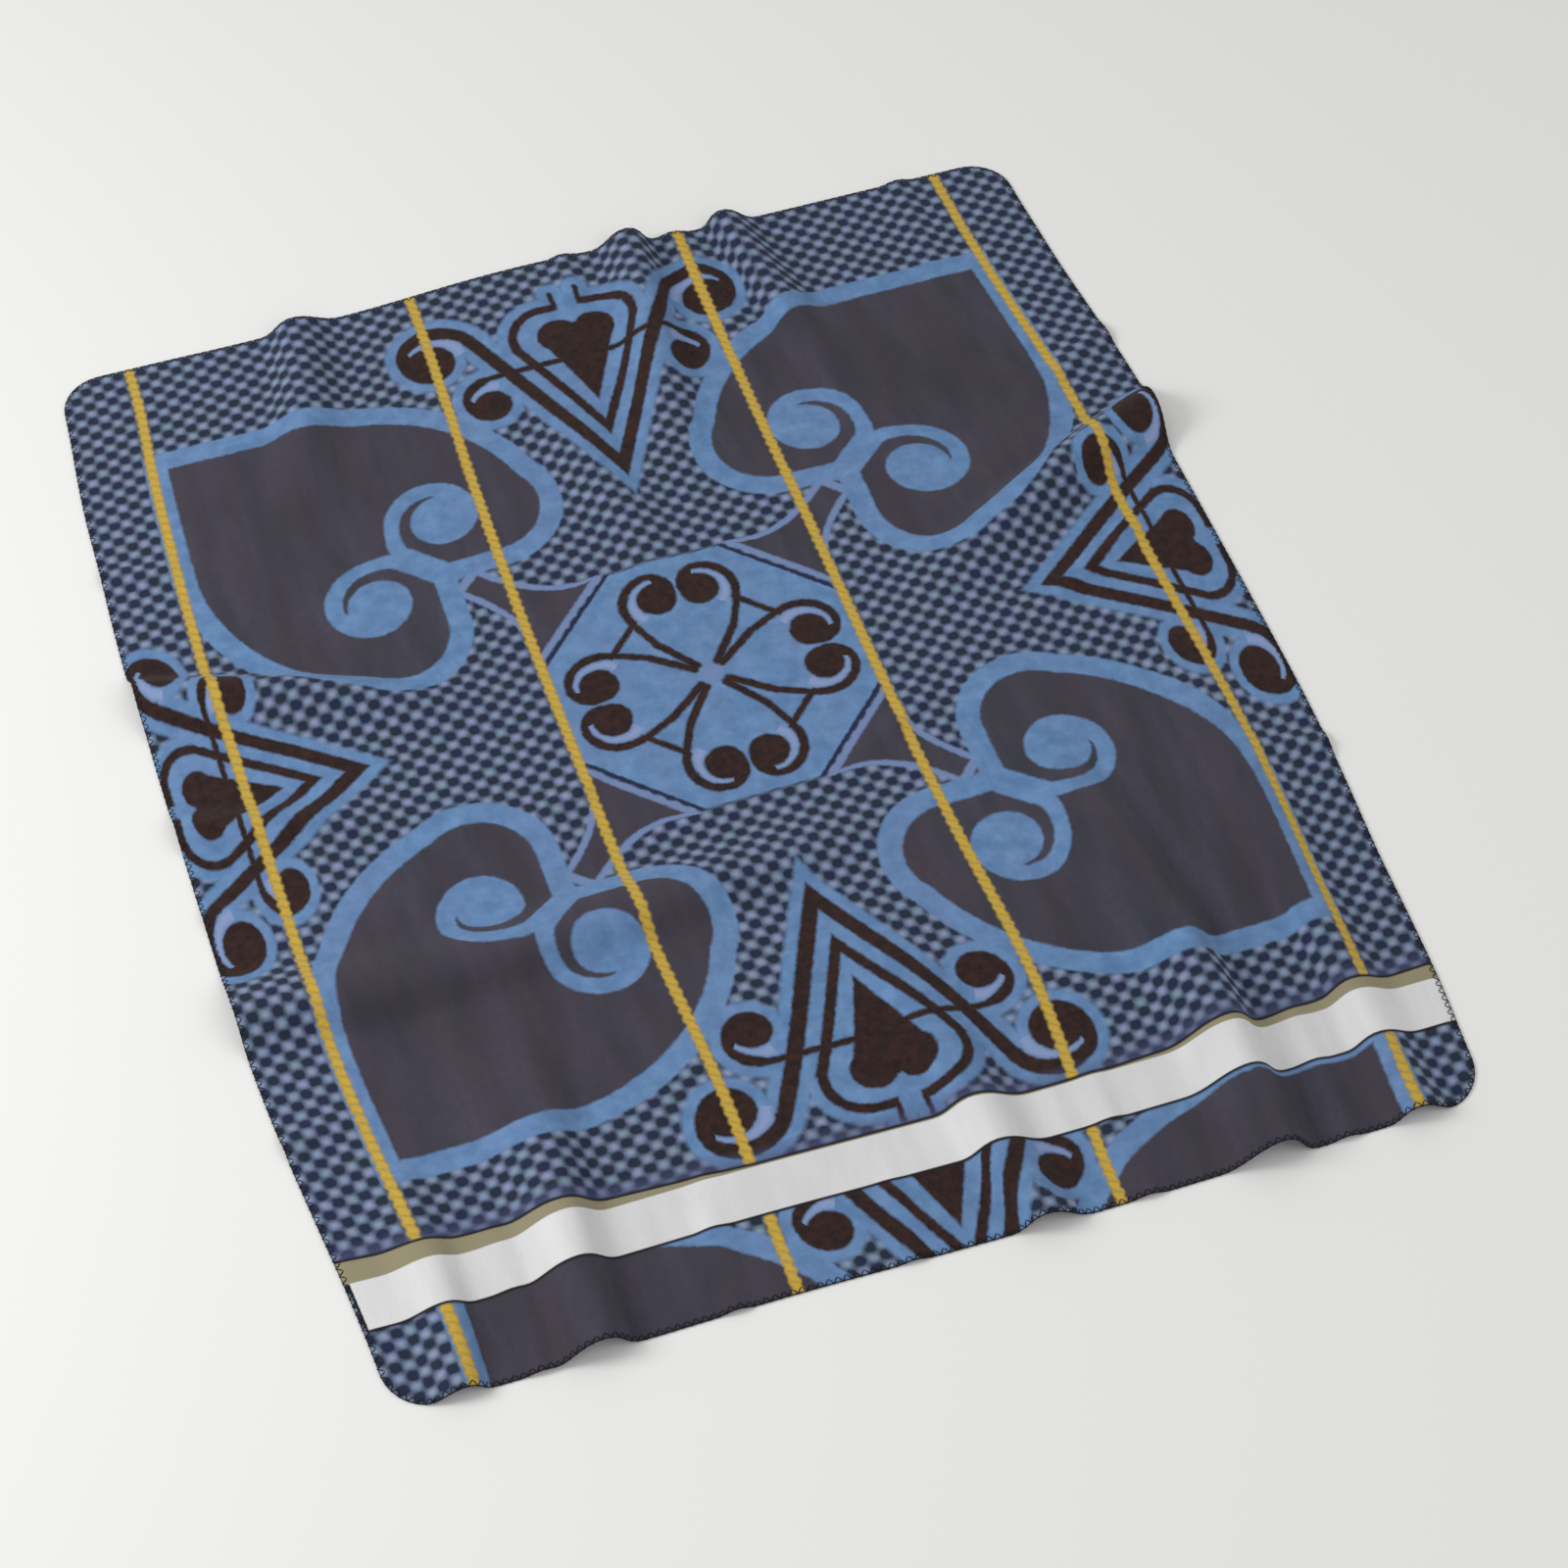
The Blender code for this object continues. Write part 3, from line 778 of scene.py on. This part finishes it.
def pattern_colour(tree, flat, sizes, colours, cloth):
    """The printed side's colour, laid down from the checked ground to the white band."""
    ink = {name: tuple(getattr(colours, name)) for name in colours.__annotations__}
    light_tint, dark_tint, blotch = uneven_shares(tree, flat, (1.0, 1.0, 0.0), 45.0)
    # Streaks along the cloth; the third share lays painted shade along the white band
    streak, reddish, painted_shade_streaks = uneven_shares(tree, flat, (1.0, 0.22, 0.0), 26.0)
    fleck, rusty, greenish = uneven_shares(tree, flat, (1.0, 1.0, 0.0), 120.0)
    uneven = uneven_places(tree, flat)
    far, near, across, rise, x, y = panel_places(tree, uneven, sizes, cloth.length)
    eighth = add_node(tree, "ShaderNodeCombineXYZ", far, near, 1.0)
    out = add_node(tree, VECTOR, eighth, (DIAGONAL, DIAGONAL, 0.0), operation="DOT_PRODUCT")
    off = add_node(tree, VECTOR, eighth, (DIAGONAL, -DIAGONAL, 0.0), operation="DOT_PRODUCT")
    # Checked ground, wedges and hearts
    light_spot = uneven_dye(tree, ink["check_teal"], (light_tint, 1.0, ink["check_lilac"]))
    dark_spot = uneven_dye(tree, ink["navy"], (dark_tint, 0.55, ink["dark_green"]))
    colour = checked_ground(tree, x, y, sizes, light_spot, dark_spot)
    blue = uneven_dye(tree, ink["light_blue"], (blotch, 0.85, ink["pale_blue"]),
                      (reddish, 0.3, ink["pale_lilac"]), (fleck, 0.12, ink["slate"]))
    fill = uneven_dye(tree, ink["grey_fill"], (streak, 0.8, ink["purple_fill"]),
                      (reddish, 0.3, ink["plum"]), (fleck, 0.3, ink["grey_fill"]))
    wedge, wedge_fill = wedge_layers(tree, out, off, sizes)
    colour = add_node(tree, MIX, wedge, colour, ink["pale_lilac"], data_type="RGBA")
    heart, heart_fill = heart_layers(tree, eighth, far, near, out, off, sizes)
    colour = add_node(tree, MIX, heart, colour, blue, data_type="RGBA")
    filled = add_node(tree, MATH, heart_fill, wedge_fill, operation="MAXIMUM")
    colour = add_node(tree, MIX, filled, colour, fill, data_type="RGBA")
    # Medallion and side motifs
    dark = uneven_dye(tree, ink["dark_brown"], (rusty, 0.7, ink["rust"]),
                      (greenish, 0.2, ink["dark_green"]))
    edge, ground, figure, gap = medallion_layers(tree, eighth, out, far, sizes)
    centre = inside(tree, disc(tree, eighth, 0.0, 0.0, 0.012), 0.008)
    halo, shapes, side_gap = side_motif_layers(tree, across, rise, sizes)
    for mask, dye in ((edge, ink["navy"]), (ground, blue), (centre, ink["pale_lilac"]),
                      (gap, ink["gap_lilac"]), (figure, dark), (halo, blue),
                      (side_gap, ink["gap_lilac"]), (shapes, dark)):
        colour = add_node(tree, MIX, mask, colour, dye, data_type="RGBA")
    # White band, with the painted shade, the dark line of painted shadow and the beige sliver beside
    # it
    band, band_and_sliver, past_sliver, before = band_distances(tree, flat, sizes, cloth)
    close_before = add_node(tree, MATH, before, 10.0, operation="MULTIPLY")
    shaded = add_node(tree, MATH, past_sliver, close_before, operation="MAXIMUM")
    shade = add_node(tree, MATH, inside(tree, shaded, 0.022, 0.012), 0.7, operation="MULTIPLY")
    colour = add_node(tree, MIX, shade, colour, ink["slate"], data_type="RGBA")
    stripe, mark = stripe_layers(tree, x, flat, sizes)
    yellow = uneven_dye(tree, ink["yellow"], (mark, 1.0, ink["olive"]),
                        (fleck, 0.25, ink["beige"]))
    # Painted shade: grey streaks along the white band, for the soft shade of its folds
    white = uneven_dye(tree, ink["white"], (painted_shade_streaks, 0.5, ink["satin_grey"]))
    # The dark line beside the band and its sliver is painted shadow
    for mask, dye in ((stripe, yellow), (inside(tree, band_and_sliver, 0.003, 0.0035),
                                         ink["edge_line"]),
                      (inside(tree, band_and_sliver, 0.002), ink["beige"]),
                      (inside(tree, band, 0.0015), white)):
        colour = add_node(tree, MIX, mask, colour, dye, data_type="RGBA")
    return colour


def finish_cloth(tree, colour, place, nap_height):
    """Feeds the shader: matt brushed fibres with a low sheen, gathered in tufts."""
    shader = tree.nodes["Principled BSDF"]
    # Real fibres are far finer, and are drawn as coarse as they need to be to show
    fibre = add_node(tree, "ShaderNodeTexNoise", place, 1100.0, 2.0, 0.7)
    tuft = add_node(tree, "ShaderNodeTexNoise", place, 260.0, 2.0, 0.6)
    nap = add_node(tree, MATH, fibre, tuft, operation="ADD")
    bump = add_node(tree, "ShaderNodeBump", 0.7, nap_height, None, nap)
    if isinstance(colour, bpy.types.NodeSocket):
        tree.links.new(colour, shader.inputs["Base Color"])
    else:
        shader.inputs["Base Color"].default_value = colour
    tree.links.new(bump, shader.inputs["Normal"])
    shader.inputs["Roughness"].default_value = 0.92
    shader.inputs["Specular IOR Level"].default_value = 0.2
    shader.inputs["Sheen Weight"].default_value = 0.05
    shader.inputs["Sheen Roughness"].default_value = 0.5


def new_material(name):
    """A new material, its node tree, and the flat cloth's places in that."""
    material = bpy.data.materials.new(name)
    material.use_nodes = True
    flat = add_node(material.node_tree, "ShaderNodeUVMap", uv_map="flat_cloth")
    return material, material.node_tree, flat


def printed_fleece(scene):
    """Brushed polyester fleece, dyed on its face: soft edges and a short, matt nap."""
    material, tree, flat = new_material("printed_brushed_fleece")
    colour = pattern_colour(tree, flat, scene.blanket_pattern, scene.blanket_colours,
                            scene.blanket_cloth)
    finish_cloth(tree, colour, flat, FACE_NAP)
    return material


def plain_fleece(scene):
    """Brushed polyester fleece, one colour: the underside."""
    material, tree, flat = new_material("plain_brushed_fleece")
    finish_cloth(tree, tuple(scene.blanket_colours.reverse), flat, FACE_NAP)
    return material


def cut_edge(scene):
    """Cut edge of the fleece, close and dark under its stitches."""
    material, tree, flat = new_material("overlocked_fleece_edge")
    finish_cloth(tree, tuple(scene.blanket_colours.edge_line), flat, EDGE_NAP)
    return material


def soft_thread(scene):
    """Soft textured polyester thread: dark, matt and a little fuzzy."""
    material, tree, _ = new_material("textured_polyester_thread")
    # The thread has no place on the flat cloth, so its nap follows its own
    place = add_node(tree, "ShaderNodeNewGeometry")
    finish_cloth(tree, tuple(scene.blanket_colours.thread), place, THREAD_NAP)
    return material


def grid_places(inner_cells, length, corner_radius):
    """Places of the grid's lines along one side, from -length / 2 to length / 2."""
    inner_end = length / 2 - corner_radius
    margin = np.linspace(inner_end, length / 2, CORNER_CELLS + 1)[1:]
    inner = np.linspace(-inner_end, inner_end, inner_cells + 1)
    return np.concatenate((-margin[::-1], inner, margin))


def round_corners(x, y, cloth):
    """Turns each square corner of the grid into a quarter of a disc."""
    radius = cloth.corner_radius
    over_x = np.clip((np.abs(x) - cloth.width / 2 + radius) / radius, 0.0, 1.0)
    over_y = np.clip((np.abs(y) - cloth.length / 2 + radius) / radius, 0.0, 1.0)
    cut_x = over_x * (1.0 - np.sqrt(1.0 - over_y ** 2 / 2)) * radius
    cut_y = over_y * (1.0 - np.sqrt(1.0 - over_x ** 2 / 2)) * radius
    return x - np.sign(x) * cut_x, y - np.sign(y) * cut_y


def smooth_start(along, fade):
    """0 before the start, 1 from the share fade on, with a soft change between.

    With no fade the fold keeps its full height, also where it has left the cloth.
    """
    if fade == 0.0:
        return np.ones_like(along)
    step = np.clip(along / fade, 0.0, 1.0)
    return step * step * (3.0 - 2.0 * step)


def climb_side(steepest, share):
    """Rise and run of a fold's side, for a side of length 1, at a share of it from its foot.

    The cloth's slope swells from level at the foot to steepest half way up, and is level
    again at the crest, so the cloth isn't stretched anywhere.
    """
    steps = (np.arange(SIDE_STEPS) + 0.5) / SIDE_STEPS
    slope = steepest * np.sin(math.pi * np.multiply.outer(steps, share))
    return share * np.sin(slope).mean(axis=0), share * np.cos(slope).mean(axis=0)


def raise_fold(fold, x, y):
    """How one fold lifts the cloth's points and draws them in towards its crest."""
    run = np.array((fold.x1 - fold.x0, fold.y1 - fold.y0))
    length = np.hypot(*run)
    run /= length
    left = np.array((-run[1], run[0]))
    along = ((x - fold.x0) * run[0] + (y - fold.y0) * run[1]) / length
    inside_run = np.clip(along, 0.0, 1.0)
    offset = (x - fold.x0) * left[0] + (y - fold.y0) * left[1]
    offset = offset - fold.bow * 4.0 * inside_run * (1.0 - inside_run)
    half_width = (fold.width0 + (fold.width1 - fold.width0) * inside_run) / 2
    reach = half_width * np.where(offset > 0.0, 1.0 + fold.lean, 1.0 - fold.lean)
    height = fold.height * smooth_start(along, fold.fade0) * smooth_start(1.0 - along, fold.fade1)
    slopes = np.linspace(0.0, STEEPEST_SIDE, SLOPE_SAMPLES)
    full_rises, _ = climb_side(slopes, np.ones_like(slopes))
    steepest = np.interp(height / reach, full_rises, slopes)
    share = 1.0 - np.clip(np.abs(offset) / reach, 0.0, 1.0)
    rise, run_to_point = climb_side(steepest, share)
    _, run_to_crest = climb_side(steepest, np.ones_like(share))
    draw = reach * ((1.0 - share) - (run_to_crest - run_to_point)) * np.sign(offset)
    return reach * rise, -draw * left[0], -draw * left[1]


def fold_cloth(x, y):
    """Places of the flat cloth's points once it lies in its folds."""
    folded = [raise_fold(fold, x, y) for fold in FOLDS.values()]
    return (x + sum(move for _, move, _ in folded), y + sum(move for _, _, move in folded),
            sum(lift for lift, _, _ in folded))


def outline_points(cloth, spacing):
    """Points evenly along the flat cloth's outline, and the directions that lead outwards there."""
    quarter = np.linspace(0.0, math.pi / 2, 25)
    turns = np.concatenate([quarter + corner * math.pi / 2 for corner in range(4)])
    outward = np.stack((np.cos(turns), np.sin(turns)), axis=1)
    signs = np.repeat(((1, 1), (-1, 1), (-1, -1), (1, -1)), len(quarter), axis=0)
    half_sizes = np.array((cloth.width / 2, cloth.length / 2))
    points = signs * (half_sizes - cloth.corner_radius) + cloth.corner_radius * outward
    known = np.hstack((points, outward))
    known = np.vstack((known, known[:1]))
    steps = np.hypot(*np.diff(known[:, :2], axis=0).T)
    travelled = np.concatenate(((0.0,), np.cumsum(steps)))
    count = round(travelled[-1] / spacing)
    places = np.arange(count) / count * travelled[-1]
    found = np.stack([np.interp(places, travelled, column) for column in known.T], axis=1)
    return found[:, :2], found[:, 2:]


def lay_points(x, y, cloth):
    """Places of the flat cloth's points on the floor, centred on the frame's box."""
    outline, _ = outline_points(cloth, 0.005)
    edge_x, edge_y, _ = fold_cloth(outline[:, 0], outline[:, 1])
    low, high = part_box(CLOTH_NODE)
    laid_x, laid_y, laid_z = fold_cloth(x, y)
    laid_x = laid_x + (low.x + high.x - edge_x.min() - edge_x.max()) / 2
    laid_y = laid_y + (low.y + high.y - edge_y.min() - edge_y.max()) / 2
    return np.stack((laid_x, laid_y, laid_z), axis=1)


def depth_inside(x, y, cloth):
    """How far a point lies inside the flat cloth's outline."""
    over_x = np.abs(x) - cloth.width / 2 + cloth.corner_radius
    over_y = np.abs(y) - cloth.length / 2 + cloth.corner_radius
    past_corner = np.hypot(np.maximum(over_x, 0.0), np.maximum(over_y, 0.0))
    return cloth.corner_radius - past_corner - np.minimum(np.maximum(over_x, over_y), 0.0)


def hem_pinch(depth, cloth):
    """1 at the stitched edge, 0 from the hem's width inwards, with a soft change between."""
    return 1.0 - smooth_start(depth, cloth.hem_width)


def tube_mesh(path, across, sides, radius):
    """Vertices and faces of a closed tube along a path; across never points along it."""
    run = np.roll(path, -1, axis=0) - np.roll(path, 1, axis=0)
    run /= np.linalg.norm(run, axis=1, keepdims=True)
    first = np.cross(run, across)
    first /= np.linalg.norm(first, axis=1, keepdims=True)
    second = np.cross(first, run)
    turns = np.arange(sides) / sides * 2 * math.pi
    rings = (first[:, None] * np.cos(turns)[:, None] + second[:, None] * np.sin(turns)[:, None])
    vertices = path[:, None] + radius * rings
    here = np.arange(len(path) * sides).reshape(-1, sides)
    ahead = np.roll(here, -1, axis=0)
    faces = np.stack((here, np.roll(here, -1, axis=1), np.roll(ahead, -1, axis=1), ahead), axis=2)
    return vertices.reshape(-1, 3), faces.reshape(-1, 4)


class BLANKET_OT_lay_cloth(bpy.types.Operator):
    """Lay the patterned cloth in its folds"""

    bl_idname = "blanket.lay_cloth"
    bl_label = "Lay cloth"

    def execute(self, context):
        scene = context.scene
        cloth = scene.blanket_cloth
        lines_x = grid_places(INNER_CELLS_ACROSS, cloth.width, cloth.corner_radius)
        lines_y = grid_places(INNER_CELLS_ALONG, cloth.length, cloth.corner_radius)
        cells_x = len(lines_x) - 1
        cells_y = len(lines_y) - 1
        bpy.ops.mesh.primitive_grid_add(x_subdivisions=cells_x, y_subdivisions=cells_y, size=2.0)
        sheet = context.active_object
        sheet.name = CLOTH_NAME
        mesh = sheet.data
        places = np.empty(len(mesh.vertices) * 3, np.float32)
        mesh.vertices.foreach_get("co", places)
        places = places.reshape(-1, 3)
        column = np.rint((places[:, 0] + 1.0) / 2 * cells_x).astype(int)
        row = np.rint((places[:, 1] + 1.0) / 2 * cells_y).astype(int)
        flat_x, flat_y = round_corners(lines_x[column], lines_y[row], cloth)
        laid = lay_points(flat_x, flat_y, cloth)
        mesh.vertices.foreach_set("co", laid.astype(np.float32).ravel())
        self.mark_flat_places(mesh, flat_x, flat_y)
        mesh.shade_smooth()
        for material in (printed_fleece(scene), plain_fleece(scene), cut_edge(scene)):
            mesh.materials.append(material)
        self.give_thickness(sheet, flat_x, flat_y, cloth)
        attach(sheet, "root")
        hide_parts(CLOTH_NODE)
        return {"FINISHED"}

    def mark_flat_places(self, mesh, flat_x, flat_y):
        """Gives each corner of the mesh its place on the flat cloth, in metres."""
        while mesh.uv_layers:
            mesh.uv_layers.remove(mesh.uv_layers[0])
        layer = mesh.uv_layers.new(name="flat_cloth")
        corners = np.empty(len(mesh.loops), np.int32)
        mesh.loops.foreach_get("vertex_index", corners)
        flat = np.stack((flat_x, flat_y), axis=1).astype(np.float32)
        layer.data.foreach_set("uv", flat[corners].ravel())

    def give_thickness(self, sheet, flat_x, flat_y, cloth):
        """Thickens the sheet upwards, and less so along its stitched edge."""
        pinch = sheet.vertex_groups.new(name="hem_pinch")
        weights = hem_pinch(depth_inside(flat_x, flat_y, cloth), cloth)
        for index in np.flatnonzero(weights > 0.0):
            pinch.add([int(index)], float(weights[index]), "REPLACE")
        solidify = sheet.modifiers.new("thickness", "SOLIDIFY")
        solidify.thickness = cloth.thickness
        solidify.offset = 1.0
        solidify.use_even_offset = True
        solidify.material_offset = 1
        solidify.material_offset_rim = 2
        solidify.vertex_group = pinch.name
        solidify.invert_vertex_group = True
        solidify.thickness_vertex_group = cloth.hem_share


class BLANKET_OT_stitch_hem(bpy.types.Operator):
    """Stitch over the cloth's edge all round"""

    bl_idname = "blanket.stitch_hem"
    bl_label = "Stitch hem"

    def execute(self, context):
        scene = context.scene
        cloth = scene.blanket_cloth
        outline, outward = outline_points(cloth, cloth.stitch_pitch)
        # Each knot's place between one stitch and the next along the outline
        along = (np.arange(len(outline))[:, None] + [knot.along for knot in STITCH]).ravel()
        inset = np.tile([knot.inset for knot in STITCH], len(outline))
        height = np.tile([knot.height for knot in STITCH], len(outline))
        loops = self.thread(cloth, outline, outward, along, inset, height)
        # The thread that locks the loops together runs along the very edge
        steps = np.arange(len(outline) * 2) / 2
        lock = self.thread(cloth, outline, outward, steps, np.full(len(steps), 0.0002),
                           np.where(steps % 1 == 0, 0.75, 0.95))
        vertices = np.vstack((loops[0], lock[0]))
        faces = np.vstack((loops[1], lock[1] + len(loops[0])))
        vertices[:, 2] = np.maximum(vertices[:, 2], 0.0)
        mesh = bpy.data.meshes.new("blanket_hem_stitches")
        mesh.from_pydata(vertices.tolist(), [], faces.tolist())
        mesh.shade_smooth()
        mesh.materials.append(soft_thread(scene))
        stitches = bpy.data.objects.new("blanket_hem_stitches", mesh)
        scene.collection.objects.link(stitches)
        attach(stitches, "root")
        return {"FINISHED"}

    def thread(self, cloth, outline, outward, along, inset, height):
        """Tube along the hem through knots given by place, depth inside the edge and height."""
        count = len(outline)
        before = np.floor(along).astype(int) % count
        share = (along % 1.0)[:, None]
        edge = outline[before] * (1.0 - share) + outline[(before + 1) % count] * share
        out = outward[before] * (1.0 - share) + outward[(before + 1) % count] * share
        flat = edge - out * inset[:, None]
        step = 0.0005
        here = lay_points(flat[:, 0], flat[:, 1], cloth)
        to_x = lay_points(flat[:, 0] + step, flat[:, 1], cloth) - here
        to_y = lay_points(flat[:, 0], flat[:, 1] + step, cloth) - here
        up = np.cross(to_x, to_y)
        up /= np.linalg.norm(up, axis=1, keepdims=True)
        outwards = (to_x * out[:, :1] + to_y * out[:, 1:]) / step
        pinch = hem_pinch(np.maximum(inset, 0.0), cloth)
        thickness = cloth.thickness * (1.0 - pinch * (1.0 - cloth.hem_share))
        path = here + up * (thickness * height)[:, None]
        return tube_mesh(path, up + outwards, 5, cloth.thread_radius)


class BLANKET_OT_set_stage(bpy.types.Operator):
    """Set the pale floor, the soft lights and the camera"""

    bl_idname = "blanket.set_stage"
    bl_label = "Set stage"

    def execute(self, context):
        scene = context.scene
        settings = scene.blanket_stage
        self.lay_floor(settings)
        self.hang_lights(scene)
        self.place_camera(scene, settings)
        scene.view_settings.view_transform = "Standard"
        return {"FINISHED"}

    def lay_floor(self, settings):
        bpy.ops.mesh.primitive_plane_add(size=FLOOR_SIZE, location=(0.0, 0.0, -FLOOR_GAP))
        floor = bpy.context.active_object
        floor.name = "pale_floor"
        material = bpy.data.materials.new("matt_painted_floor")
        material.use_nodes = True
        shader = material.node_tree.nodes["Principled BSDF"]
        shader.inputs["Base Color"].default_value = tuple(settings.floor_colour)
        shader.inputs["Roughness"].default_value = 0.8
        floor.data.materials.append(material)

    def hang_lights(self, scene):
        world = bpy.data.worlds.new("studio")
        world.use_nodes = True
        background = world.node_tree.nodes["Background"]
        background.inputs["Color"].default_value = srgb("FFFFFF")
        background.inputs["Strength"].default_value = 0.6
        scene.world = world
        for name, place, size, power in (
                ("key", (-3.4, 0.6, 2.3), 1.6, 85.0), ("fill", (2.8, -2.4, 2.8), 2.5, 18.0)):
            lamp = bpy.data.lights.new(name, "AREA")
            lamp.shape = "SQUARE"
            lamp.size = size
            lamp.energy = power
            light = bpy.data.objects.new(name, lamp)
            light.location = place
            light.rotation_euler = (-Vector(place)).to_track_quat("-Z", "Y").to_euler()
            scene.collection.objects.link(light)

    def place_camera(self, scene, settings):
        camera_data = bpy.data.cameras.new("camera")
        camera = bpy.data.objects.new("camera", camera_data)
        scene.collection.objects.link(camera)
        low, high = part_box(CLOTH_NODE)
        corners = [Vector((x, y, z)) for x in (low.x, high.x) for y in (low.y, high.y)
                   for z in (low.z, high.z)]
        sight = Vector((math.sin(settings.azimuth) * math.cos(settings.elevation),
                        -math.cos(settings.azimuth) * math.cos(settings.elevation),
                        math.sin(settings.elevation)))
        rotation = sight.to_track_quat("Z", "Y")
        aim = (low + high) / 2
        for _ in range(4):
            eye = aim + sight * settings.distance
            seen = [rotation.inverted() @ (corner - eye) for corner in corners]
            across = [point.x / -point.z for point in seen]
            up = [point.y / -point.z for point in seen]
            middle = Vector(((min(across) + max(across)) / 2, (min(up) + max(up)) / 2, 0.0))
            aim = aim + rotation @ (middle * settings.distance)
        half = max(max(across) - min(across), max(up) - min(up)) / 2
        camera_data.angle = 2 * math.atan(half / settings.filled)
        camera.location = eye
        camera.rotation_euler = rotation.to_euler()
        scene.camera = camera


class BLANKET_PT_pieces(bpy.types.Panel):
    bl_label = "Basotho blanket"
    bl_idname = "BLANKET_PT_pieces"
    bl_space_type = "VIEW_3D"
    bl_region_type = "UI"
    bl_category = "Blanket"

    def draw(self, context):
        for operator in OPERATORS:
            self.layout.operator(operator.bl_idname)
        for group in GROUPS:
            settings = getattr(context.scene, group)
            self.layout.label(text=group)
            for name in settings.__annotations__:
                self.layout.prop(settings, name)


GROUPS = {
    "blanket_cloth": ClothSizes,
    "blanket_pattern": PatternSizes,
    "blanket_colours": ClothColours,
    "blanket_stage": StageSettings,
}
OPERATORS = (BLANKET_OT_lay_cloth, BLANKET_OT_stitch_hem, BLANKET_OT_set_stage)
CLASSES = (*GROUPS.values(), *OPERATORS, BLANKET_PT_pieces)


def register():
    for kind in CLASSES:
        bpy.utils.register_class(kind)
    for name, kind in GROUPS.items():
        setattr(bpy.types.Scene, name, bpy.props.PointerProperty(type=kind))


def unregister():
    for name in GROUPS:
        delattr(bpy.types.Scene, name)
    for kind in reversed(CLASSES):
        bpy.utils.unregister_class(kind)


def main():
    register()
    bpy.ops.blanket.lay_cloth()
    bpy.ops.blanket.stitch_hem()
    bpy.ops.blanket.set_stage()


if __name__ == "__main__":
    main()
